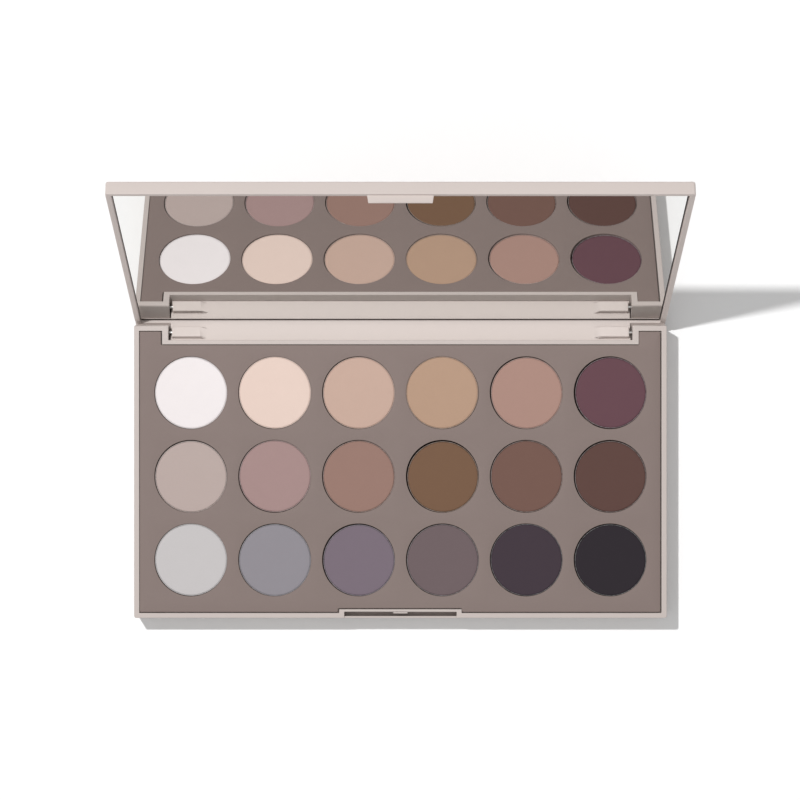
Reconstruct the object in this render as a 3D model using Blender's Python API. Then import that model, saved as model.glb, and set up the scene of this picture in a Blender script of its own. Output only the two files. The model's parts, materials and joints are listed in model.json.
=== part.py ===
"""Eyeshadow palette: a slim hinged compact with a mirror lid and 18 pressed powders.

Metres, +Z up. The origin is the centre of the base's underside, +X is to the right, -Y is
the latch side and +Y the hinge side. The lid is made closed, in coordinates from the hinge
axis, and an empty on that axis holds it open on its stop.
"""

import math

import bmesh
import bpy
from mathutils import Color

MM = 0.001

# Casing
WIDTH = 200.0 * MM
DEPTH = 110.0 * MM
BASE_HEIGHT = 13.0 * MM
LID_THICKNESS = 5.0 * MM
SPLIT_GAP = 0.2 * MM
FLOOR = 1.5 * MM
CORNER_RADIUS = 0.8 * MM
OUTER_ROUND = 0.8 * MM
RIM_ROUND = 0.2 * MM

# Base: opening for the tray, with frames round the hinge recess and the latch notch
SIDE_RIM = 1.95 * MM
FRONT_RIM = 1.87 * MM
REAR_RIM = 2.2 * MM
LEDGE = 1.2 * MM
LEDGE_Z = BASE_HEIGHT - 1.8 * MM
RIB_TOP = BASE_HEIGHT - 2.0 * MM
RIB_THICKNESS = 1.2 * MM
RECESS_HALF = 87.2 * MM
RECESS_DEPTH = 5.65 * MM
RECESS_FLOOR_Z = BASE_HEIGHT - 7.8 * MM
RECESS_FRAME_SIDE = 2.3 * MM
RECESS_FRAME_FRONT = 1.62 * MM
NOTCH_HALF = 21.1 * MM
NOTCH_DEPTH = 2.28 * MM
NOTCH_FLOOR_Z = BASE_HEIGHT - 5.0 * MM
NOTCH_LIP = 0.7 * MM
NOTCH_LIP_Z = BASE_HEIGHT - 0.5 * MM
NOTCH_FRAME_SIDE = 1.9 * MM
NOTCH_FRAME_BACK = 1.0 * MM
CATCH_HALF = 2.7 * MM
CATCH_REACH = 0.58 * MM
CATCH_BOTTOM_Z = BASE_HEIGHT - 1.4 * MM
CATCH_TOP_Z = BASE_HEIGHT - 0.1 * MM

# Tray and pans
COLUMNS = 6
ROWS = 3
PITCH_X = 31.5 * MM
PITCH_Y = 31.4 * MM
GRID_CENTRE_Y = -1.8 * MM
TRAY_GAP = 0.28 * MM
TRAY_SHIFT_X = -0.18 * MM
TRAY_SHIFT_Y = 0.08 * MM
TRAY_TOP_Z = BASE_HEIGHT - 0.3 * MM
TRAY_THICKNESS = 1.2 * MM
WELL_RADIUS = 13.65 * MM
WELL_WALL = 0.8 * MM
WELL_FLOOR_Z = BASE_HEIGHT - 5.0 * MM
PAN_RADIUS = 13.25 * MM
PAN_WALL = 0.3 * MM
PAN_HEIGHT = 4.0 * MM
PAN_LIFT = 0.3 * MM
POWDER_GAP = 0.2 * MM
POWDER_EDGE = 0.3 * MM
POWDER_TOP_DROP = 0.05 * MM
ROUND_SEGMENTS = 24

# Hinge
AXIS_Y = 52.4 * MM
AXIS_Z = BASE_HEIGHT - 3.6 * MM
OPEN_ANGLE = math.radians(110.0)
WEB_REAR_INSET = 0.1 * MM
WEB_TIP_RADIUS = 2.93 * MM
WEB_END = 86.7 * MM
KNUCKLE_RADIUS = 2.2 * MM
KNUCKLE_FLAT = 1.05 * MM
KNUCKLE_RAMP_X = 73.2 * MM
KNUCKLE_INNER_X = 75.4 * MM
KNUCKLE_END = 86.0 * MM
RELIEF_RADIUS = 4.35 * MM
BASE_REAR_ROUND = 0.8 * MM
PIN_RADIUS = 0.6 * MM
PIN_INNER_X = 76.4 * MM
PIN_OUTER_X = 89.9 * MM
BORE_RADIUS = 0.75 * MM
BORE_INNER_X = 76.0 * MM

# Lid
LID_SIDE_WALL = 1.93 * MM
LID_FRONT_WALL = 1.5 * MM
LID_REAR_WALL = 2.0 * MM
LID_PLATE = 1.4 * MM
MIRROR_DEPTH = 1.43 * MM
MIRROR_THICKNESS = 1.2 * MM
MIRROR_GAP = 0.45 * MM
MIRROR_SIDE_GAP = 0.28 * MM
MIRROR_SHIFT_X = -0.12 * MM
ADHESIVE_THICKNESS = 0.5 * MM
ADHESIVE_MARGIN = 5.0 * MM
ADHESIVE_GAP = 0.2 * MM
TONGUE_HALF = 11.3 * MM
TONGUE_REACH = 2.75 * MM
TONGUE_TAPER = 0.4 * MM
TONGUE_INSET = 0.9 * MM
TONGUE_THICKNESS = 0.6 * MM
BEAD_HEIGHT = 0.1 * MM
BEAD_WIDTH = 0.5 * MM
BEAD_FROM_TIP = 0.35 * MM

# How far a cutter or a joined piece runs past the face it meets
PAST = 1.0 * MM
ROOTED = 0.5 * MM
KNUCKLE_SINK = 0.05 * MM

# Colours as hue in degrees, saturation and value in percent; row 1 is at the hinge
SHADES = (
    (
        (0, 3, 88),  # pearl
        (20, 15, 84),  # pale peach
        (20, 22, 73),  # nude
        (25, 29, 67),  # sand
        (15, 26, 63),  # rosy beige
        (345, 30, 38),  # plum
    ),
    (
        (15, 12, 68),  # stone
        (5, 18, 61),  # dusty rose
        (15, 27, 56),  # clay
        (25, 40, 44),  # caramel
        (15, 32, 43),  # cocoa
        (10, 32, 35),  # chestnut
    ),
    (
        (0, 2, 73),  # silver
        (285, 4, 54),  # dove grey
        (310, 10, 45),  # lilac grey
        (350, 13, 41),  # mauve grey
        (315, 15, 25),  # aubergine
        (300, 10, 18),  # charcoal
    ),
)
CASING_COLOUR = (20, 8, 73)
TRAY_COLOUR = (15, 15, 49)


def clear_scene():
    for item in list(bpy.data.objects):
        bpy.data.objects.remove(item)


def tone(hue, saturation, value):
    """Linear RGB of a colour given in degrees and percent."""
    colour = Color()
    colour.hsv = (hue / 360.0, saturation / 100.0, value / 100.0)
    return tuple(colour.from_srgb_to_scene_linear())


def make_material(name, colour, roughness, metallic=0.0):
    material = bpy.data.materials.new(name)
    material.use_nodes = True
    shader = material.node_tree.nodes["Principled BSDF"]
    shader.inputs["Base Color"].default_value = (*colour, 1.0)
    shader.inputs["Roughness"].default_value = roughness
    shader.inputs["Metallic"].default_value = metallic
    return material


def make_object(bm, name, material=None):
    bmesh.ops.recalc_face_normals(bm, faces=bm.faces)
    mesh = bpy.data.meshes.new(name)
    bm.to_mesh(mesh)
    bm.free()
    piece = bpy.data.objects.new(name, mesh)
    bpy.context.scene.collection.objects.link(piece)
    if material is not None:
        mesh.materials.append(material)
    return piece


def rounded_rectangle(x0, x1, y0, y1, radius, steps=4):
    """Outline of a rectangle with round corners, counter-clockwise from the lower right."""
    corners = ((x1, y0, -90.0), (x1, y1, 0.0), (x0, y1, 90.0), (x0, y0, 180.0))
    outline = []
    for x, y, start in corners:
        centre_x = x - math.copysign(radius, x - (x0 + x1) / 2)
        centre_y = y - math.copysign(radius, y - (y0 + y1) / 2)
        for step in range(steps + 1):
            angle = math.radians(start + 90.0 * step / steps)
            outline.append((centre_x + radius * math.cos(angle), centre_y + radius * math.sin(angle)))
    return outline


def prism(outline, z0, z1):
    """Upright solid on a plan outline."""
    bm = bmesh.new()
    floor = bm.faces.new([bm.verts.new((x, y, z0)) for x, y in outline])
    raised = bmesh.ops.extrude_face_region(bm, geom=[floor])["geom"]
    top = [item for item in raised if isinstance(item, bmesh.types.BMVert)]
    bmesh.ops.translate(bm, verts=top, vec=(0.0, 0.0, z1 - z0))
    return bm


def box(x0, x1, y0, y1, z0, z1):
    return prism([(x0, y0), (x1, y0), (x1, y1), (x0, y1)], z0, z1)


def round_level_edges(bm, z, width, segments):
    """Round the edges that lie at one height."""
    edges = [edge for edge in bm.edges if all(abs(vert.co.z - z) < 1e-7 for vert in edge.verts)]
    bmesh.ops.bevel(bm, geom=edges, offset=width, segments=segments, profile=0.5, affect="EDGES")


def ring(bm, points):
    return [bm.verts.new(point) for point in points]


def loft(bm, rings):
    """Closed solid through rings with the same number of points."""
    for lower, upper in zip(rings, rings[1:]):
        for index in range(len(lower)):
            after = (index + 1) % len(lower)
            bm.faces.new((lower[index], lower[after], upper[after], upper[index]))
    bm.faces.new(rings[0])
    bm.faces.new(rings[-1])


def turned(profile, centre=(0.0, 0.0)):
    """Solid turned about an upright axis from (radius, z) points, with flat ends."""
    bm = bmesh.new()
    rings = []
    for radius, z in profile:
        circle = []
        for index in range(ROUND_SEGMENTS):
            angle = 2.0 * math.pi * index / ROUND_SEGMENTS
            circle.append((centre[0] + radius * math.cos(angle), centre[1] + radius * math.sin(angle), z))
        rings.append(ring(bm, circle))
    loft(bm, rings)
    return bm


def circle_across_x(x, y, z, radius):
    """Points of a circle in the plane across X."""
    points = []
    for index in range(ROUND_SEGMENTS):
        angle = 2.0 * math.pi * index / ROUND_SEGMENTS
        points.append((x, y + radius * math.cos(angle), z + radius * math.sin(angle)))
    return points


def rod_along_x(x0, x1, y, z, radius):
    """Round bar along X."""
    bm = bmesh.new()
    loft(bm, [ring(bm, circle_across_x(x, y, z, radius)) for x in (x0, x1)])
    return bm


def bar_along_x(section, x0, x1):
    """Bar along X with a section of (y, z) points."""
    bm = bmesh.new()
    loft(bm, [ring(bm, [(x, y, z) for y, z in section]) for x in (x0, x1)])
    return bm


def combine(piece, bm, operation):
    """Join a solid to a piece or cut it out of the piece."""
    tool = make_object(bm, "tool")
    modifier = piece.modifiers.new(operation.lower(), "BOOLEAN")
    modifier.operation = operation
    modifier.object = tool
    modifier.solver = "EXACT"
    evaluated = piece.evaluated_get(bpy.context.evaluated_depsgraph_get())
    shaped = bpy.data.meshes.new_from_object(evaluated)
    piece.modifiers.clear()
    piece.data = shaped
    bpy.data.objects.remove(tool)


def add(piece, bm):
    combine(piece, bm, "UNION")


def cut(piece, bm):
    combine(piece, bm, "DIFFERENCE")


def smooth(piece):
    piece.data.shade_smooth()
    piece.data.set_sharp_from_angle(angle=math.radians(35.0))


def tray_outline(inset):
    """Plan of the base's opening, moved inwards; it steps round the recess and the notch."""
    side = WIDTH / 2 - SIDE_RIM - inset
    front = -DEPTH / 2 + FRONT_RIM + inset
    rear = DEPTH / 2 - REAR_RIM - inset
    recess_side = RECESS_HALF + RECESS_FRAME_SIDE + inset
    recess_front = DEPTH / 2 - RECESS_DEPTH - RECESS_FRAME_FRONT - inset
    notch_side = NOTCH_HALF + NOTCH_FRAME_SIDE + inset
    notch_back = -DEPTH / 2 + NOTCH_DEPTH + NOTCH_FRAME_BACK + inset
    right = [
        (notch_side, notch_back),
        (notch_side, front),
        (side, front),
        (side, rear),
        (recess_side, rear),
        (recess_side, recess_front),
    ]
    left = [(-x, y) for x, y in reversed(right)]
    return right + left


def grid():
    """Row, column, x and y of each pan."""
    for row in range(ROWS):
        for column in range(COLUMNS):
            x = (column - (COLUMNS - 1) / 2) * PITCH_X
            y = GRID_CENTRE_Y + ((ROWS - 1) / 2 - row) * PITCH_Y
            yield row, column, x, y


def add_ribs(shell):
    """Ribs between the wells, which carry the tray."""
    half = RIB_THICKNESS / 2
    side = WIDTH / 2 - SIDE_RIM
    front = -DEPTH / 2 + FRONT_RIM
    rear = DEPTH / 2 - RECESS_DEPTH - RECESS_FRAME_FRONT
    for index in range(ROWS - 1):
        y = GRID_CENTRE_Y + (index - (ROWS - 2) / 2) * PITCH_Y
        add(shell, box(-side, side, y - half, y + half, FLOOR - ROOTED, RIB_TOP))
    for index in range(COLUMNS - 1):
        x = (index - (COLUMNS - 2) / 2) * PITCH_X
        add(shell, box(x - half, x + half, front, rear, FLOOR - ROOTED, RIB_TOP))


def base_shell(material):
    outline = rounded_rectangle(-WIDTH / 2, WIDTH / 2, -DEPTH / 2, DEPTH / 2, CORNER_RADIUS)
    body = prism(outline, 0.0, BASE_HEIGHT)
    round_level_edges(body, 0.0, OUTER_ROUND, 3)
    round_level_edges(body, BASE_HEIGHT, RIM_ROUND, 2)
    shell = make_object(body, "base_shell", material)
    cut(shell, rear_edge_cutter())
    cut(shell, prism(tray_outline(0.0), LEDGE_Z, BASE_HEIGHT + PAST))
    cut(shell, prism(tray_outline(LEDGE), FLOOR, LEDGE_Z + PAST))
    recess_front = DEPTH / 2 - RECESS_DEPTH
    top = BASE_HEIGHT + PAST
    cut(shell, box(-RECESS_HALF, RECESS_HALF, recess_front, DEPTH / 2 + PAST, RECESS_FLOOR_Z, top))
    notch_back = -DEPTH / 2 + NOTCH_DEPTH
    cut(shell, box(-NOTCH_HALF, NOTCH_HALF, -DEPTH / 2 - PAST, notch_back, NOTCH_LIP_Z, top))
    lip_back = -DEPTH / 2 + NOTCH_LIP
    cut(shell, box(-NOTCH_HALF, NOTCH_HALF, lip_back, notch_back, NOTCH_FLOOR_Z, NOTCH_LIP_Z + PAST))
    add_ribs(shell)
    catch_tip = notch_back - CATCH_REACH
    add(shell, box(-CATCH_HALF, CATCH_HALF, catch_tip, notch_back + ROOTED, CATCH_BOTTOM_Z, CATCH_TOP_Z))
    for side in (-1.0, 1.0):
        inner = side * (RECESS_HALF - PAST)
        outer = side * (RECESS_HALF + RECESS_FRAME_SIDE + LEDGE + PAST)
        cut(shell, rod_along_x(inner, outer, AXIS_Y, AXIS_Z, BORE_RADIUS))
    smooth(shell)
    return shell


def rear_edge_cutter():
    """Rounds the upper rear edge, which the lid's rim swings past."""
    radius = BASE_REAR_ROUND
    centre_y = DEPTH / 2 - radius
    centre_z = BASE_HEIGHT - radius
    outline = [(DEPTH / 2 + PAST, BASE_HEIGHT + PAST), (centre_y, BASE_HEIGHT + PAST)]
    steps = 4
    for step in range(steps + 1):
        angle = math.radians(90.0 - 90.0 * step / steps)
        outline.append((centre_y + radius * math.cos(angle), centre_z + radius * math.sin(angle)))
    outline.append((DEPTH / 2 + PAST, centre_z))
    half = WIDTH / 2 + PAST
    return bar_along_x(outline, -half, half)


def pan_tray(material):
    outline = [(x + TRAY_SHIFT_X, y + TRAY_SHIFT_Y) for x, y in tray_outline(TRAY_GAP)]
    plate = prism(outline, TRAY_TOP_Z - TRAY_THICKNESS, TRAY_TOP_Z)
    tray = make_object(plate, "pan_tray", material)
    cup_radius = WELL_RADIUS + WELL_WALL
    cup_floor = WELL_FLOOR_Z - WELL_WALL
    for _, _, x, y in grid():
        add(tray, turned([(cup_radius, cup_floor), (cup_radius, TRAY_TOP_Z - ROOTED)], (x, y)))
    for _, _, x, y in grid():
        cut(tray, turned([(WELL_RADIUS, WELL_FLOOR_Z), (WELL_RADIUS, TRAY_TOP_Z + PAST)], (x, y)))
    smooth(tray)
    return tray


def pan_mesh(material):
    """Round drawn metal pan, made about its own floor."""
    inner = PAN_RADIUS - PAN_WALL
    profile = [
        (PAN_RADIUS, 0.0),
        (PAN_RADIUS, PAN_HEIGHT),
        (inner, PAN_HEIGHT),
        (inner, PAN_WALL),
    ]
    pan = make_object(turned(profile), "pan", material)
    smooth(pan)
    return pan


def powder_mesh():
    """Pressed cake with an eased edge, made about the pan's floor."""
    radius = PAN_RADIUS - PAN_WALL - POWDER_GAP
    top = PAN_HEIGHT - POWDER_TOP_DROP
    profile = [
        (radius, PAN_WALL + POWDER_GAP),
        (radius, top - POWDER_EDGE),
        (radius - POWDER_EDGE, top),
    ]
    powder = make_object(turned(profile), "powder")
    smooth(powder)
    return powder


def pans_and_powders(pan_material):
    pan_model = pan_mesh(pan_material)
    powder_model = powder_mesh()
    floor_z = WELL_FLOOR_Z + PAN_LIFT
    for row, column, x, y in grid():
        tag = f"r{row + 1}c{column + 1}"
        pan = bpy.data.objects.new(f"pan_{tag}", pan_model.data)
        powder = bpy.data.objects.new(f"powder_{tag}", powder_model.data.copy())
        powder.data.materials.append(make_material(f"shade_{tag}", tone(*SHADES[row][column]), 0.9))
        for piece in (pan, powder):
            piece.location = (x, y, floor_z)
            bpy.context.scene.collection.objects.link(piece)
    bpy.data.objects.remove(pan_model)
    bpy.data.objects.remove(powder_model)


def hinge_pins(material):
    for side, name in ((-1.0, "hinge_pin_left"), (1.0, "hinge_pin_right")):
        rod = rod_along_x(side * PIN_INNER_X, side * PIN_OUTER_X, 0.0, 0.0, PIN_RADIUS)
        pin = make_object(rod, name, material)
        pin.location = (0.0, AXIS_Y, AXIS_Z)
        smooth(pin)


def hinge_web():
    """The lid's rear wall carried down into the recess, as an extrusion along X.

    Its tip is an arc about the hinge axis, so that it turns clear of the recess.
    """
    rear = DEPTH / 2 - AXIS_Y - WEB_REAR_INSET
    front = DEPTH / 2 - AXIS_Y - LID_REAR_WALL
    top = BASE_HEIGHT + SPLIT_GAP - AXIS_Z + ROOTED
    outline = [(rear, top), (front, top)]
    first = -math.acos(front / WEB_TIP_RADIUS)
    last = -math.acos(rear / WEB_TIP_RADIUS)
    steps = 6
    for step in range(steps + 1):
        angle = first + (last - first) * step / steps
        outline.append((WEB_TIP_RADIUS * math.cos(angle), WEB_TIP_RADIUS * math.sin(angle)))
    return bar_along_x(outline, -WEB_END, WEB_END)


def knuckle(side):
    """Knuckle on one end of the web: round with a flat face, ramped down to the web."""
    web_face = DEPTH / 2 - AXIS_Y - LID_REAR_WALL
    sunk = web_face + KNUCKLE_SINK
    circle = circle_across_x(0.0, 0.0, 0.0, KNUCKLE_RADIUS)
    full = [(max(y, -KNUCKLE_FLAT), z) for _, y, z in circle]
    low = [(max(y, sunk), z) for y, z in full]
    stations = ((KNUCKLE_RAMP_X, low), (KNUCKLE_INNER_X, full), (KNUCKLE_END, full))
    bm = bmesh.new()
    loft(bm, [ring(bm, [(side * x, y, z) for y, z in section]) for x, section in stations])
    return bm


def lid_levels():
    """Heights from the hinge axis: rim, inner ceiling and outer top."""
    rim = BASE_HEIGHT + SPLIT_GAP - AXIS_Z
    top = rim + LID_THICKNESS
    return rim, top - LID_PLATE, top


def lid_shell(material):
    rim, ceiling, top = lid_levels()
    front = -DEPTH / 2 - AXIS_Y
    rear = DEPTH / 2 - AXIS_Y
    body = prism(rounded_rectangle(-WIDTH / 2, WIDTH / 2, front, rear, CORNER_RADIUS), rim, top)
    round_level_edges(body, top, OUTER_ROUND, 3)
    round_level_edges(body, rim, RIM_ROUND, 2)
    shell = make_object(body, "lid_shell", material)
    half = WIDTH / 2 - LID_SIDE_WALL
    cut(shell, box(-half, half, front + LID_FRONT_WALL, rear - LID_REAR_WALL, rim - PAST, ceiling))
    for side in (-1.0, 1.0):
        cut(shell, rod_along_x(side * WEB_END, side * (WIDTH / 2 + PAST), 0.0, 0.0, RELIEF_RADIUS))
    add(shell, hinge_web())
    for side in (-1.0, 1.0):
        add(shell, knuckle(side))
        cut(shell, rod_along_x(side * BORE_INNER_X, side * (WEB_END + PAST), 0.0, 0.0, BORE_RADIUS))
    add_tongue(shell, front, rim)
    smooth(shell)
    return shell


def add_tongue(shell, front, rim):
    """Latch tongue under the free edge, with a bead that passes the base's catch tab."""
    outer = front + TONGUE_INSET
    inner = outer + TONGUE_THICKNESS
    tip = rim - TONGUE_REACH
    narrow = TONGUE_HALF - TONGUE_TAPER
    wide = TONGUE_HALF + TONGUE_TAPER * PAST / TONGUE_REACH
    body = bmesh.new()
    rings = []
    for half, z in ((narrow, tip), (wide, rim + PAST)):
        rings.append(ring(body, [(-half, outer, z), (half, outer, z), (half, inner, z), (-half, inner, z)]))
    loft(body, rings)
    add(shell, body)
    bead_z = tip + BEAD_FROM_TIP
    bead_half = TONGUE_HALF / 2
    add(shell, box(-bead_half, bead_half, inner - ROOTED, inner + BEAD_HEIGHT, bead_z, bead_z + BEAD_WIDTH))


def lid_inside(mirror_material, adhesive_material):
    """The mirror and the sheet that holds it."""
    rim, _, _ = lid_levels()
    front = -DEPTH / 2 - AXIS_Y + LID_FRONT_WALL + MIRROR_GAP
    rear = DEPTH / 2 - AXIS_Y - LID_REAR_WALL - MIRROR_GAP
    half = WIDTH / 2 - LID_SIDE_WALL - MIRROR_SIDE_GAP
    face = rim + MIRROR_DEPTH
    back = face + MIRROR_THICKNESS
    plate = box(MIRROR_SHIFT_X - half, MIRROR_SHIFT_X + half, front, rear, face, back)
    mirror = make_object(plate, "mirror", mirror_material)
    sheet_z = back + ADHESIVE_GAP
    half -= ADHESIVE_MARGIN
    front += ADHESIVE_MARGIN
    rear -= ADHESIVE_MARGIN
    sheet = box(-half, half, front, rear, sheet_z, sheet_z + ADHESIVE_THICKNESS)
    return mirror, make_object(sheet, "mirror_adhesive", adhesive_material)


def open_lid(pieces):
    """Hang the lid's pieces on an empty on the hinge axis and swing it to its stop."""
    hinge = bpy.data.objects.new("lid_hinge_axis", None)
    bpy.context.scene.collection.objects.link(hinge)
    hinge.location = (0.0, AXIS_Y, AXIS_Z)
    hinge.rotation_euler = (-OPEN_ANGLE, 0.0, 0.0)
    for piece in pieces:
        piece.parent = hinge


def build():
    clear_scene()
    casing = make_material("casing", tone(*CASING_COLOUR), 0.4)
    base_shell(casing)
    pan_tray(make_material("tray", tone(*TRAY_COLOUR), 0.75))
    steel = make_material("steel", (0.62, 0.61, 0.6), 0.3, 1.0)
    pans_and_powders(make_material("pan_metal", (0.75, 0.75, 0.75), 0.35, 1.0))
    hinge_pins(steel)
    lid = lid_shell(casing)
    silver = make_material("mirror_silver", (0.85, 0.85, 0.84), 0.02, 1.0)
    mirror, sheet = lid_inside(silver, make_material("adhesive", (0.8, 0.8, 0.78), 0.8))
    open_lid((lid, mirror, sheet))


build()
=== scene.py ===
import json
import math
import random

import bmesh
import bpy
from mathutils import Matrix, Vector, noise


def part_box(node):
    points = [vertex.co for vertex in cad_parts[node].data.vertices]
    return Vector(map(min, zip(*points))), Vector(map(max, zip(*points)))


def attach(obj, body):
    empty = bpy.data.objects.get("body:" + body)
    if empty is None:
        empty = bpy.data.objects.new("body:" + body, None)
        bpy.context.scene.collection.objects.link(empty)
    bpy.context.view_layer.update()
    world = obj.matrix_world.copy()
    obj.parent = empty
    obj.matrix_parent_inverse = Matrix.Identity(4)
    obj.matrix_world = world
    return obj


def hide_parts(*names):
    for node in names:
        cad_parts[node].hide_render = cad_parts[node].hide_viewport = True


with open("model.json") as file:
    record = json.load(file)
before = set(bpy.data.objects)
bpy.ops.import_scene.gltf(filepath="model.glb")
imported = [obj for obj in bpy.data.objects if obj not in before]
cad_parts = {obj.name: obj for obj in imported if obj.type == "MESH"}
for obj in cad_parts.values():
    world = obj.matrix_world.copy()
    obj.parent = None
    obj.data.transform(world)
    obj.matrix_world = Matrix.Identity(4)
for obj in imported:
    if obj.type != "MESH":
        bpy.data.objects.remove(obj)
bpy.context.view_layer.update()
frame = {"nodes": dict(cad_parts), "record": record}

MM = 0.001
ROWS = 3
COLUMNS = 6

# Camera: a long lens looking straight down, with a little shift; lens and sensor in mm
LENS = 115.83
SENSOR = 36.0
SHIFT_Y = 0.1256
EYE_X = -0.17 * MM
EYE_Y = -10.87 * MM
EYE_ABOVE_RIM = 966.4 * MM

# Clean-up of the CAD meshes
MERGE_DISTANCE = 0.002 * MM
FLAT_ANGLE = math.radians(0.5)

# Pans: the sides' number is a multiple of 8, so that a ring has corners on its diagonals
TURNED_SIDES = 112
PAN_SHEET = 0.22 * MM
PAN_CLEARANCE = 0.03 * MM
PAN_FOOT_ROUND = 0.4 * MM
PAN_FOOT_STEPS = 4
PAN_LIP_STEPS = 6
DUSTED_DEPTH = 0.3 * MM

# Cakes: the edge dips inwards in places, the top swells up and down; ring shares are of the radius
CAKE_CLEARANCE = 0.03 * MM
CAKE_EASE = 0.32 * MM
CAKE_EASE_SLOPE = 0.8
CAKE_WOBBLE = 0.07 * MM
WOBBLE_COARSE = 2.2
WOBBLE_FINE = 9.0
WOBBLE_FINE_SHARE = 0.4
CAKE_SWELL = 0.04 * MM
CAKE_SWELL_SIZE = 6.0 * MM
CAKE_TOP_RINGS = (0.94, 0.85, 0.7, 0.5, 0.3, 0.12)
SEED_RANGE = 90.0

# Casing: the lamp and sky leave the lid too dark, so this factor paints the lid's plastic lighter than
# the base's, as painted light
CASING_BEVEL = 0.14 * MM
LID_PAINTED_LIGHT = 1.22

# Edges: bevels on casing and pins, sharp shading past SMOOTH_ANGLE, and the steps of a round in degrees
BEVEL_SEGMENTS = 2
BEVEL_ANGLE = math.radians(55.0)
SMOOTH_ANGLE = math.radians(40.0)
PIN_CHAMFER = 0.12 * MM
EASE_TURNS = (0.0, 30.0, 60.0, 90.0)

# Tray
PITCH_X = 31.5 * MM
PITCH_Y = 31.4 * MM
WELL_RADIUS = 13.65 * MM
WELL_WALL = 0.8 * MM
WELL_LIP = 0.2 * MM
WELL_LIP_START = 112.5
WELL_LIP_STEPS = 3
PLATE = 1.2 * MM
TRAY_EDGE = 0.18 * MM
TRAY_CORNER = 0.45 * MM
CORNER_STEPS = 4
SAME_LEVEL = 0.01 * MM
CLEAR_OF_WELL = 0.1 * MM
UPRIGHT_NORMAL_Z = 0.1
BORDER_MERGE = 0.02 * MM
NEARLY_ZERO = 1e-9
ON_DIAGONAL = 1e-6

# Mirror: widths of the ground arris, and of the dark bands of painted shade at the hinge edge and the
# free edge, where the gaps round the mirror lie in shade
MIRROR_ARRIS = 0.1 * MM
MIRROR_LOW_SHADE_BAND = 1.2 * MM
MIRROR_TOP_SHADE_BAND = 0.7 * MM
FRONT_COSINE = 0.9
# Colour of the mirror's dark sides and arris (partly real edge paint, partly painted shade) and of its
# painted shade bands
EDGE_PAINT_AND_SHADE_COLOUR = (0.07, 0.055, 0.05)

# Stage: the lamp's place and radius in metres, its power in watts
FLOOR_HALF = 3.0
FLOOR_COLOUR = (0.9, 0.9, 0.9, 1.0)
SKY_LEVEL = 0.22
SKY_FROM_ABOVE = 0.48
SKY_FROM_FRONT = 0.24
LAMP_PLACE = (-0.32, 0.31, 0.94)
LAMP_RADIUS = 0.018
LAMP_POWER = 28.0

# Where each pan sits in its well: moved right, moved back, cake's depth below the tray face (mm)
SEATED = {
    "r1c1": (0.10, 0.00, 0.40),
    "r1c2": (0.10, 0.05, 0.40),
    "r1c3": (0.15, -0.05, 0.45),
    "r1c4": (-0.05, 0.05, 0.45),
    "r1c5": (0.20, -0.10, 0.50),
    "r1c6": (0.30, 0.00, 0.60),
    "r2c1": (0.10, -0.15, 0.45),
    "r2c2": (0.15, 0.05, 0.45),
    "r2c3": (0.15, -0.05, 0.50),
    "r2c4": (0.20, -0.20, 0.60),
    "r2c5": (0.15, -0.05, 0.50),
    "r2c6": (0.20, -0.15, 0.60),
    "r3c1": (0.10, 0.05, 0.45),
    "r3c2": (0.10, -0.10, 0.45),
    "r3c3": (0.20, -0.15, 0.50),
    "r3c4": (0.15, -0.10, 0.50),
    "r3c5": (0.15, 0.00, 0.55),
    "r3c6": (0.20, -0.10, 0.55),
}


def recorded(slot):
    """A material slot's colour in the record."""
    for row in frame["record"]["materials"]:
        if row["slot"] == slot:
            return row["base_color"][:3]
    raise ValueError(slot)


# ---------------------------------------------------------------- materials


class Nodes:
    """A short way to write a node tree: one method for each kind of node used here."""

    def __init__(self, name):
        self.material = bpy.data.materials.new(name)
        self.material.use_nodes = True
        self.tree = self.material.node_tree
        self.shader = self.tree.nodes["Principled BSDF"]

    def add(self, kind, inputs=None, **settings):
        node = self.tree.nodes.new(kind)
        for key, value in settings.items():
            setattr(node, key, value)
        for key, value in (inputs or {}).items():
            if isinstance(value, bpy.types.NodeSocket):
                self.tree.links.new(value, node.inputs[key])
            else:
                node.inputs[key].default_value = value
        return node

    def surface(self, **inputs):
        """Set the shader's inputs; a name's underscores stand for spaces."""
        for key, value in inputs.items():
            socket = self.shader.inputs[key.replace("_", " ")]
            if isinstance(value, bpy.types.NodeSocket):
                self.tree.links.new(value, socket)
            else:
                socket.default_value = value

    def place(self):
        return self.add("ShaderNodeTexCoord").outputs["Object"]

    def stretched(self, vector, scale):
        return self.add("ShaderNodeMapping", {"Vector": vector, "Scale": scale}).outputs["Vector"]

    def noise(self, vector, size, detail=3.0, rough=0.55):
        """Noise whose blotches are about one size across, in metres."""
        inputs = {"Vector": vector, "Scale": 1.0 / size, "Detail": detail, "Roughness": rough}
        return self.add("ShaderNodeTexNoise", inputs).outputs["Fac"]

    def cells(self, vector, size):
        inputs = {"Vector": vector, "Scale": 1.0 / size}
        return self.add("ShaderNodeTexVoronoi", inputs).outputs["Distance"]

    def ranged(self, value, low, high, start=0.0, end=1.0):
        inputs = {"Value": value, "From Min": start, "From Max": end, "To Min": low, "To Max": high}
        return self.add("ShaderNodeMapRange", inputs).outputs["Result"]

    def math(self, operation, first, second):
        return self.add("ShaderNodeMath", {0: first, 1: second}, operation=operation).outputs["Value"]

    def mixed(self, amount, first, second):
        """First colour where the amount is 0, second where it is 1."""
        node = self.add("ShaderNodeMix", data_type="RGBA")
        self.tree.links.new(amount, node.inputs[0])
        node.inputs[6].default_value = (*first, 1.0)
        node.inputs[7].default_value = (*second, 1.0)
        return node.outputs[2]

    def bump(self, height, depth, strength=1.0, under=None):
        inputs = {"Height": height, "Distance": depth, "Strength": strength}
        if under is not None:
            inputs["Normal"] = under
        return self.add("ShaderNodeBump", inputs).outputs["Normal"]


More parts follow.
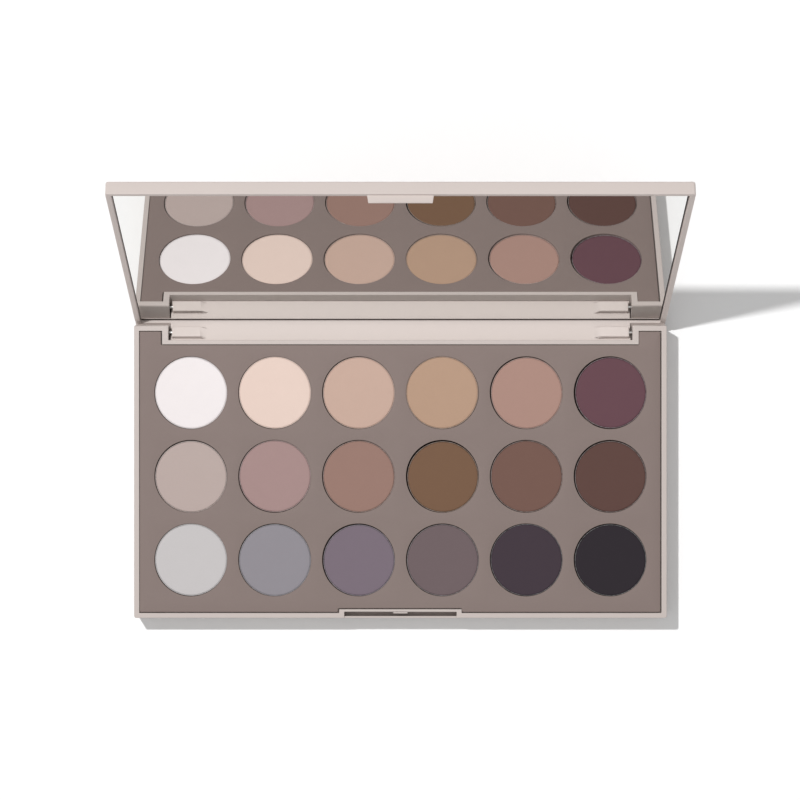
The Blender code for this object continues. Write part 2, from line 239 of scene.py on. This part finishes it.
def tinted(nodes, colour, factor):
    """A colour times a node's value, as a colour socket."""
    scaled = nodes.add("ShaderNodeVectorMath", {1: factor}, operation="MULTIPLY")
    scaled.inputs[0].default_value = colour
    return scaled.outputs["Vector"]


def satin_plastic(name, colour):
    """Casing: moulded in a pale beige with a soft satin finish."""
    nodes = Nodes(name)
    place = nodes.place()
    clouds = nodes.ranged(nodes.noise(place, 14 * MM, 2.0), 0.985, 1.015)
    fine = nodes.ranged(nodes.noise(place, 0.6 * MM, 2.0), 0.99, 1.01)
    rough = nodes.ranged(nodes.noise(place, 5 * MM, 3.0), 0.40, 0.50)
    nodes.surface(
        Base_Color=tinted(nodes, colour, nodes.math("MULTIPLY", clouds, fine)),
        Roughness=rough,
        Specular_IOR_Level=0.22,
        Normal=nodes.bump(nodes.noise(place, 0.22 * MM, 2.0), 0.004 * MM),
    )
    return nodes.material


def matt_tray(name, colour):
    """Tray: taupe plastic moulded with a fine spark-eroded grain."""
    nodes = Nodes(name)
    place = nodes.place()
    clouds = nodes.ranged(nodes.noise(place, 18 * MM, 2.0), 0.98, 1.02)
    grain = nodes.noise(place, 0.18 * MM, 2.0)
    shade = nodes.math("MULTIPLY", clouds, nodes.ranged(grain, 0.96, 1.04))
    nodes.surface(
        Base_Color=tinted(nodes, colour, shade),
        Roughness=nodes.ranged(nodes.noise(place, 3 * MM), 0.62, 0.72),
        Specular_IOR_Level=0.25,
        Normal=nodes.bump(grain, 0.012 * MM),
    )
    return nodes.material


def pressed_powder(name, colour):
    """Cake: matt pigment with a fine grain, faint mottling and a few coarser specks."""
    nodes = Nodes(name)
    place = nodes.place()
    mottle = nodes.ranged(nodes.noise(place, 4.5 * MM, 3.0), 0.985, 1.015)
    grain = nodes.noise(place, 0.16 * MM, 3.0, 0.7)
    specks = nodes.ranged(nodes.cells(place, 0.9 * MM), 0.93, 1.0, 0.0, 0.14)
    shade = nodes.math("MULTIPLY", mottle, nodes.ranged(grain, 0.94, 1.06))
    shade = nodes.math("MULTIPLY", shade, specks)
    soft = nodes.bump(nodes.noise(place, 1.4 * MM, 2.0), 0.02 * MM)
    nodes.surface(
        Base_Color=tinted(nodes, colour, shade),
        Roughness=nodes.ranged(grain, 0.86, 0.98),
        Specular_IOR_Level=0.12,
        Normal=nodes.bump(grain, 0.02 * MM, 1.0, soft),
    )
    return nodes.material


def drawn_metal(name, colour):
    """Pan: thin drawn sheet with faint draw marks."""
    nodes = Nodes(name)
    place = nodes.place()
    marks = nodes.noise(nodes.stretched(place, (1.0, 1.0, 12.0)), 0.5 * MM, 2.0)
    nodes.surface(
        Base_Color=tinted(nodes, colour, nodes.ranged(marks, 0.95, 1.03)),
        Metallic=1.0,
        Roughness=nodes.ranged(marks, 0.30, 0.42),
        Normal=nodes.bump(marks, 0.004 * MM),
    )
    return nodes.material


def dusted_metal(name, metal, powder):
    """Pan's lip and wall: bare metal in places, powder dust in others."""
    nodes = Nodes(name)
    patches = nodes.noise(nodes.place(), 0.8 * MM, 2.0)
    dust = nodes.ranged(patches, 0.72, 0.95, 0.3, 0.7)
    nodes.surface(
        Base_Color=nodes.mixed(dust, metal, powder),
        Metallic=nodes.math("SUBTRACT", 1.0, dust),
        Roughness=nodes.ranged(dust, 0.3, 0.8),
        Specular_IOR_Level=0.2,
    )
    return nodes.material


def pin_steel(name, colour):
    """Hinge pin: drawn wire with marks along its length."""
    nodes = Nodes(name)
    marks = nodes.noise(nodes.stretched(nodes.place(), (0.08, 1.0, 1.0)), 0.2 * MM, 2.0)
    nodes.surface(
        Base_Color=tinted(nodes, colour, nodes.ranged(marks, 0.92, 1.04)),
        Metallic=1.0,
        Roughness=nodes.ranged(marks, 0.22, 0.36),
    )
    return nodes.material


def mirror_silver(name, colour):
    """Mirror's face: clean silver with the faintest uneven haze."""
    nodes = Nodes(name)
    haze = nodes.ranged(nodes.noise(nodes.place(), 30 * MM, 2.0), 0.0, 0.012)
    nodes.surface(Base_Color=(*colour, 1.0), Metallic=1.0, Roughness=haze)
    return nodes.material


def edge_paint_and_shade(name):
    """Dark paint on the mirror's sides and arris, partly real edge paint and partly painted shade for the
    gaps, and painted shade in two bands along its long edges.
    """
    nodes = Nodes(name)
    grain = nodes.noise(nodes.place(), 0.3 * MM, 2.0)
    nodes.surface(
        Base_Color=tinted(nodes, EDGE_PAINT_AND_SHADE_COLOUR, nodes.ranged(grain, 0.85, 1.15)),
        Roughness=0.7,
        Specular_IOR_Level=0.3,
        Normal=nodes.bump(grain, 0.01 * MM),
    )
    return nodes.material


def foam_tape(name, colour):
    """Adhesive sheet: closed-cell foam."""
    nodes = Nodes(name)
    cells = nodes.cells(nodes.place(), 0.35 * MM)
    nodes.surface(
        Base_Color=tinted(nodes, colour, nodes.ranged(cells, 0.92, 1.02)),
        Roughness=0.85,
        Normal=nodes.bump(cells, 0.03 * MM),
    )
    return nodes.material


# ---------------------------------------------------------------- mesh helpers


def piece(name, bm, body, material, replaced=()):
    """Turn a bmesh into a piece that rides on a body and stands for CAD nodes."""
    bmesh.ops.recalc_face_normals(bm, faces=bm.faces)
    mesh = bpy.data.meshes.new(name)
    bm.to_mesh(mesh)
    bm.free()
    shown = bpy.data.objects.new(name, mesh)
    bpy.context.scene.collection.objects.link(shown)
    mesh.materials.append(material)
    mesh.shade_smooth()
    mesh.set_sharp_from_angle(angle=SMOOTH_ANGLE)
    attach(shown, body)
    for node in replaced:
        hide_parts(node)
    return shown


def ring(bm, centre, radius_at, z_at, sides=TURNED_SIDES):
    """Closed ring of vertices; radius and height are functions of the angle."""
    made = []
    for index in range(sides):
        angle = math.tau * index / sides
        radius = radius_at(angle)
        x = centre.x + radius * math.cos(angle)
        y = centre.y + radius * math.sin(angle)
        made.append(bm.verts.new((x, y, z_at(angle))))
    return made


def bridge(bm, lower, upper):
    """A band of four-sided faces between two rings of as many vertices."""
    for index in range(len(lower)):
        after = (index + 1) % len(lower)
        bm.faces.new((lower[index], lower[after], upper[after], upper[index]))


def turned(bm, profile, centre, close_start=True, close_end=True):
    """Rings through (radius, z) points, with flat ends."""
    rings = [ring(bm, centre, lambda _, r=r: r, lambda _, z=z: z) for r, z in profile]
    for lower, upper in zip(rings, rings[1:]):
        bridge(bm, lower, upper)
    if close_start:
        bm.faces.new(rings[0])
    if close_end:
        bm.faces.new(rings[-1])
    return rings


def arc(centre_r, centre_z, radius, start, end, steps):
    """Points of an arc in a turned profile, angles in degrees."""
    points = []
    for step in range(steps + 1):
        angle = math.radians(start + (end - start) * step / steps)
        points.append((centre_r + radius * math.cos(angle), centre_z + radius * math.sin(angle)))
    return points


def solid_copy(node):
    """The CAD node's mesh, with split vertices merged and most of its flat facets joined."""
    bm = bmesh.new()
    bm.from_mesh(frame["nodes"][node].data)
    bmesh.ops.remove_doubles(bm, verts=bm.verts, dist=MERGE_DISTANCE)
    bmesh.ops.dissolve_limit(bm, angle_limit=FLAT_ANGLE, verts=bm.verts, edges=bm.edges)
    return bm


def eased(shown, width):
    """Ease a piece's sharp edges with a narrow round."""
    bevel = shown.modifiers.new("edges", "BEVEL")
    bevel.width = width
    bevel.segments = BEVEL_SEGMENTS
    bevel.limit_method = "ANGLE"
    bevel.angle_limit = BEVEL_ANGLE
    bevel.use_clamp_overlap = False
    bevel.miter_outer = "MITER_ARC"
    normals = shown.modifiers.new("normals", "WEIGHTED_NORMAL")
    normals.weight = 100
    normals.keep_sharp = True


# ---------------------------------------------------------------- pieces


def casing():
    """Casing: the two moulded shells with their sharp edges eased; the lid's plastic is painted lighter
    than the base's, as painted light.
    """
    colour = recorded("casing")
    material = satin_plastic("casing_satin", colour)
    base = piece("casing_base", solid_copy("base_shell"), "base", material, ["base_shell"])
    eased(base, CASING_BEVEL)
    # The lid gets a lighter copy of the casing's plastic: painted light standing in for light the lamp
    # and sky don't give it
    lid_painted_lighter = [share * LID_PAINTED_LIGHT for share in colour]
    material = satin_plastic("lid_satin_painted_lighter", lid_painted_lighter)
    lid = piece("casing_lid", solid_copy("lid_shell"), "lid", material, ["lid_shell"])
    eased(lid, CASING_BEVEL)


def well_centres():
    """Name tag and axis of each pan, read from its CAD box."""
    tags = [f"r{row}c{column}" for row in range(1, ROWS + 1) for column in range(1, COLUMNS + 1)]
    return {tag: sum(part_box(f"pan_{tag}"), Vector()) / 2 for tag in tags}


CENTRES = well_centres()


def tray_corners():
    """Corners of the tray's outline, walked round the top edge of its CAD solid."""
    bm = solid_copy("pan_tray")
    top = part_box("pan_tray")[1].z
    axes = [centre.xy for centre in CENTRES.values()]
    corners = set()
    for vert in bm.verts:
        from_well = min((vert.co.xy - axis).length for axis in axes)
        if abs(vert.co.z - top) < SAME_LEVEL and from_well > WELL_RADIUS + CLEAR_OF_WELL:
            corners.add(vert)
    walk = [min(corners, key=lambda vert: (vert.co.y, vert.co.x))]
    while len(walk) < len(corners):
        for edge in walk[-1].link_edges:
            after = edge.other_vert(walk[-1])
            upright = any(abs(face.normal.z) < UPRIGHT_NORMAL_Z for face in edge.link_faces)
            if after in corners and after not in walk and upright:
                walk.append(after)
                break
    points = [vert.co.xy.copy() for vert in walk]
    bm.free()
    twice_area = sum(a.x * b.y - b.x * a.y for a, b in zip(points, points[1:] + points[:1]))
    return points if twice_area > 0 else points[::-1]


def inset_outline(corners, inset):
    """The outline moved inwards, with its corners rounded off."""
    outline = []
    count = len(corners)
    for index, corner in enumerate(corners):
        before = (corner - corners[index - 1]).normalized()
        after = (corners[(index + 1) % count] - corner).normalized()
        inward = Vector((-before.y, before.x)) + Vector((-after.y, after.x))
        moved = corner + inward * inset
        start = moved - before * TRAY_CORNER
        end = moved + after * TRAY_CORNER
        centre = start + end - moved
        for step in range(CORNER_STEPS + 1):
            turn = math.radians(90.0 * step / CORNER_STEPS)
            out = (start - centre) * math.cos(turn) + (end - centre) * math.sin(turn)
            outline.append(centre + out)
    return outline


def plate_face(bm, corners, inset, z, hole_radius):
    """One flat side of the tray with its 18 holes: returns the outline and the holes' rings."""
    half_x = PITCH_X / 2
    half_y = PITCH_Y / 2
    holes = {}
    borders = []
    before = set(bm.edges)
    for tag, centre in CENTRES.items():
        hole = ring(bm, centre, lambda _: hole_radius, lambda _: z)
        border = []
        for index in range(TURNED_SIDES):
            angle = math.tau * index / TURNED_SIDES
            way = Vector((math.cos(angle), math.sin(angle)))
            reach_x = half_x / max(abs(way.x), NEARLY_ZERO)
            reach_y = half_y / max(abs(way.y), NEARLY_ZERO)
            reach = min(reach_x, reach_y)
            spot = Vector((way.x * reach, way.y * reach))
            if abs(abs(way.x) - abs(way.y)) < ON_DIAGONAL:
                spot = Vector((math.copysign(half_x, way.x), math.copysign(half_y, way.y)))
            border.append(bm.verts.new((centre.x + spot.x, centre.y + spot.y, z)))
        bridge(bm, hole, border)
        holes[tag] = hole
        borders += border
    bmesh.ops.remove_doubles(bm, verts=borders, dist=BORDER_MERGE)
    inner = {vert for hole in holes.values() for vert in hole}
    block = [edge for edge in bm.edges if edge not in before and edge.is_boundary]
    block = [edge for edge in block if edge.verts[0] not in inner]
    outline = [bm.verts.new((point.x, point.y, z)) for point in inset_outline(corners, inset)]
    rim = [bm.edges.new((vert, outline[index - 1])) for index, vert in enumerate(outline)]
    bmesh.ops.triangle_fill(bm, use_beauty=True, edges=block + rim)
    return outline, holes


def tray():
    """Tray: a plate with eased edges, and a round cup with an eased lip for each pan."""
    low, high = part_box("pan_tray")
    corners = tray_corners()
    bm = bmesh.new()
    ease = TRAY_EDGE
    lip_radius = WELL_RADIUS + WELL_LIP
    upper, lips = plate_face(bm, corners, ease, high.z, lip_radius)
    lower, collars = plate_face(bm, corners, 0.0, high.z - PLATE, WELL_RADIUS + WELL_WALL)
    levels = [upper]
    for turn in EASE_TURNS[1:]:
        inset = ease * (1.0 - math.sin(math.radians(turn)))
        z = high.z - ease * (1.0 - math.cos(math.radians(turn)))
        levels.append([bm.verts.new((point.x, point.y, z)) for point in inset_outline(corners, inset)])
    levels.append(lower)
    for above, below in zip(levels, levels[1:]):
        bridge(bm, above, below)
    floor_z = low.z + WELL_WALL
    for tag, centre in CENTRES.items():
        profile = arc(lip_radius, high.z - WELL_LIP, WELL_LIP, WELL_LIP_START, 180.0, WELL_LIP_STEPS)
        profile += [(WELL_RADIUS, floor_z + WELL_LIP), (WELL_RADIUS - WELL_LIP, floor_z)]
        inner = turned(bm, profile, centre, close_start=False)
        bridge(bm, lips[tag], inner[0])
        outer = turned(bm, [(WELL_RADIUS + WELL_WALL, low.z)], centre, close_end=False)
        bridge(bm, collars[tag], outer[0])
    material = matt_tray("tray_taupe", recorded("tray"))
    piece("tray", bm, "base", material, ["pan_tray"])


def seat(tag):
    """A pan's axis and radius: it sits close to one side of its well."""
    right, back, _ = SEATED[tag]
    moved = Vector((right, back, 0.0)) * MM
    return CENTRES[tag] + moved, WELL_RADIUS - PAN_CLEARANCE - moved.length


def pans():
    """Pans: thin drawn cups; the rolled lip and the inside carry some of the powder's dust."""
    metal = recorded("pan_metal")
    bare = drawn_metal("pan_tinplate", metal)
    for tag in CENTRES:
        low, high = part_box(f"pan_{tag}")
        centre, radius = seat(tag)
        foot = PAN_FOOT_ROUND
        half_lip = PAN_SHEET / 2
        profile = arc(radius - foot, low.z + foot, foot, -90.0, 0.0, PAN_FOOT_STEPS)
        profile += arc(radius - half_lip, high.z - half_lip, half_lip, 0.0, 180.0, PAN_LIP_STEPS)
        profile += [(radius - PAN_SHEET, low.z + PAN_SHEET)]
        bm = bmesh.new()
        turned(bm, profile, centre)
        cup = piece(f"pan_cup_{tag}", bm, "base", bare, [f"pan_{tag}"])
        cup.data.materials.append(dusted_metal(f"pan_dusted_{tag}", metal, recorded(f"powder_{tag}")))
        for face in cup.data.polygons:
            inside = (face.center.xy - centre.xy).dot(face.normal.xy) < 0.0
            face.material_index = 1 if inside or face.center.z > high.z - DUSTED_DEPTH else 0


def cakes():
    """Cakes: pressed powder with an eased, slightly uneven edge and a faintly swelling top."""
    for tag in CENTRES:
        cake(tag, *seat(tag))


def cake(tag, centre, pan_radius):
    """One cake: rings up its side, round its eased edge and across its top."""
    slot = f"powder_{tag}"
    low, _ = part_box(slot)
    tray_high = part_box("pan_tray")[1]
    top = tray_high.z - SEATED[tag][2] * MM
    full = pan_radius - PAN_SHEET - CAKE_CLEARANCE
    draw = random.Random(tag)
    seed = Vector([draw.uniform(0.0, SEED_RANGE) for _ in range(3)])

    def edge(angle, inset):
        way = Vector((math.cos(angle), math.sin(angle), 0.0))
        coarse = noise.noise(way * WOBBLE_COARSE + seed)
        fine = noise.noise(way * WOBBLE_FINE + seed)
        wobble = coarse + WOBBLE_FINE_SHARE * fine
        return full + min(0.0, CAKE_WOBBLE * wobble) - inset

    def height(angle, radius, drop):
        spot = Vector((math.cos(angle) * radius, math.sin(angle) * radius, 0.0)) / CAKE_SWELL_SIZE
        return top - drop + CAKE_SWELL * noise.noise(spot + seed)

    bm = bmesh.new()
    rings = [ring(bm, centre, lambda a: edge(a, 0.0), lambda _: low.z)]
    for turn in EASE_TURNS:
        inset = CAKE_EASE * (1.0 - math.cos(math.radians(turn)))
        drop = CAKE_EASE * (1.0 - math.sin(math.radians(turn))) * CAKE_EASE_SLOPE
        radius = full - inset
        rim = ring(bm, centre, lambda a, i=inset: edge(a, i), lambda a, r=radius, d=drop: height(a, r, d))
        rings.append(rim)
    for share in CAKE_TOP_RINGS:
        radius = full * share
        rings.append(ring(bm, centre, lambda _, r=radius: r, lambda a, r=radius: height(a, r, 0.0)))
    for lower, upper in zip(rings, rings[1:]):
        bridge(bm, lower, upper)
    bm.faces.new(rings[0])
    middle = bm.verts.new((centre.x, centre.y, height(0.0, 0.0, 0.0)))
    last = rings[-1]
    for index, vert in enumerate(last):
        bm.faces.new((vert, last[(index + 1) % len(last)], middle))
    material = pressed_powder(f"pressed_{tag}", recorded(slot))
    piece(f"cake_{tag}", bm, "base", material, [slot])


def mirror():
    """Mirror: silvered plate whose sides and arris are painted dark, partly real edge paint and partly
    painted shade, with bands of painted shade along its two long edges.
    """
    bm = solid_copy("mirror")
    front = max((face for face in bm.faces if face.normal.y < 0), key=lambda face: face.calc_area())
    facing = front.normal.copy()
    up = facing.cross(Vector((1.0, 0.0, 0.0)))
    heights = [vert.co.dot(up) for vert in bm.verts]
    # Heights of the two bands of painted shade, which stand in for the shaded gaps at the hinge edge and
    # the free edge
    shade_band_edges = (min(heights) + MIRROR_LOW_SHADE_BAND, max(heights) - MIRROR_TOP_SHADE_BAND)
    bmesh.ops.bevel(
        bm, geom=list(front.edges), offset=MIRROR_ARRIS, segments=1, profile=0.5, affect="EDGES"
    )
    for shade_band_edge in shade_band_edges:
        geometry = list(bm.verts) + list(bm.edges) + list(bm.faces)
        bmesh.ops.bisect_plane(bm, geom=geometry, plane_co=up * shade_band_edge, plane_no=up)
    silver = mirror_silver("mirror_silvered", recorded("mirror_silver"))
    shown = piece("mirror_plate", bm, "lid", silver, ["mirror"])
    # Faces outside the clear silver take the dark edge paint and the painted shade
    shown.data.materials.append(edge_paint_and_shade("mirror_edge_paint_and_shade"))
    for face in shown.data.polygons:
        clear = face.normal.dot(facing) > FRONT_COSINE and shade_band_edges[0] < face.center.dot(up) < shade_band_edges[1]
        face.material_index = 0 if clear else 1
        face.use_smooth = False


def pins():
    """Hinge pins: drawn wire with chamfered ends."""
    material = pin_steel("pin_wire", recorded("pin_steel"))
    for side in ("left", "right"):
        node = f"hinge_pin_{side}"
        pin = piece(f"pin_{side}", solid_copy(node), "base", material, [node])
        eased(pin, PIN_CHAMFER)


def adhesive():
    """The sheet behind the mirror is its CAD solid, given a foam material."""
    node = frame["nodes"]["mirror_adhesive"]
    node.data.materials.clear()
    node.data.materials.append(foam_tape("adhesive_foam", recorded("adhesive")))


# ---------------------------------------------------------------- stage


def camera():
    """Camera high above the base's rim, looking straight down."""
    _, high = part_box("base_shell")
    data = bpy.data.cameras.new("camera")
    data.sensor_width = SENSOR
    data.lens = LENS
    data.shift_y = SHIFT_Y
    eye = bpy.data.objects.new("camera", data)
    bpy.context.scene.collection.objects.link(eye)
    eye.location = (EYE_X, EYE_Y, high.z + EYE_ABOVE_RIM)
    bpy.context.scene.camera = eye


def floor():
    """White floor under the object."""
    bm = bmesh.new()
    bmesh.ops.create_grid(bm, x_segments=1, y_segments=1, size=FLOOR_HALF)
    mesh = bpy.data.meshes.new("floor")
    bm.to_mesh(mesh)
    bm.free()
    plane = bpy.data.objects.new("floor", mesh)
    bpy.context.scene.collection.objects.link(plane)
    nodes = Nodes("floor_white")
    nodes.surface(Base_Color=FLOOR_COLOUR, Roughness=1.0, Specular_IOR_Level=0.0)
    mesh.materials.append(nodes.material)


def light():
    """A sky brighter above and in front, and a small lamp up at the back left.

    The lamp's falloff is constant, so its light doesn't weaken with distance.
    """
    scene = bpy.context.scene
    scene.view_settings.view_transform = "Standard"
    world = bpy.data.worlds.new("studio")
    world.use_nodes = True
    tree = world.node_tree
    way = tree.nodes.new("ShaderNodeTexCoord").outputs["Generated"]
    lean = tree.nodes.new("ShaderNodeVectorMath")
    lean.operation = "DOT_PRODUCT"
    lean.inputs[1].default_value = (0.0, -SKY_FROM_FRONT, SKY_FROM_ABOVE)
    level = tree.nodes.new("ShaderNodeMath")
    level.inputs[1].default_value = SKY_LEVEL
    tree.links.new(way, lean.inputs[0])
    tree.links.new(lean.outputs["Value"], level.inputs[0])
    sky = tree.nodes["Background"]
    tree.links.new(level.outputs["Value"], sky.inputs["Color"])
    scene.world = world
    lamp = bpy.data.lights.new("key", "POINT")
    lamp.shadow_soft_size = LAMP_RADIUS
    lamp.energy = LAMP_POWER
    lamp.use_nodes = True
    falloff = lamp.node_tree.nodes.new("ShaderNodeLightFalloff")
    falloff.inputs["Strength"].default_value = 1.0
    strength = lamp.node_tree.nodes["Emission"].inputs["Strength"]
    lamp.node_tree.links.new(falloff.outputs["Constant"], strength)
    key = bpy.data.objects.new("key", lamp)
    scene.collection.objects.link(key)
    key.location = LAMP_PLACE


casing()
tray()
pans()
cakes()
mirror()
pins()
adhesive()
camera()
floor()
light()
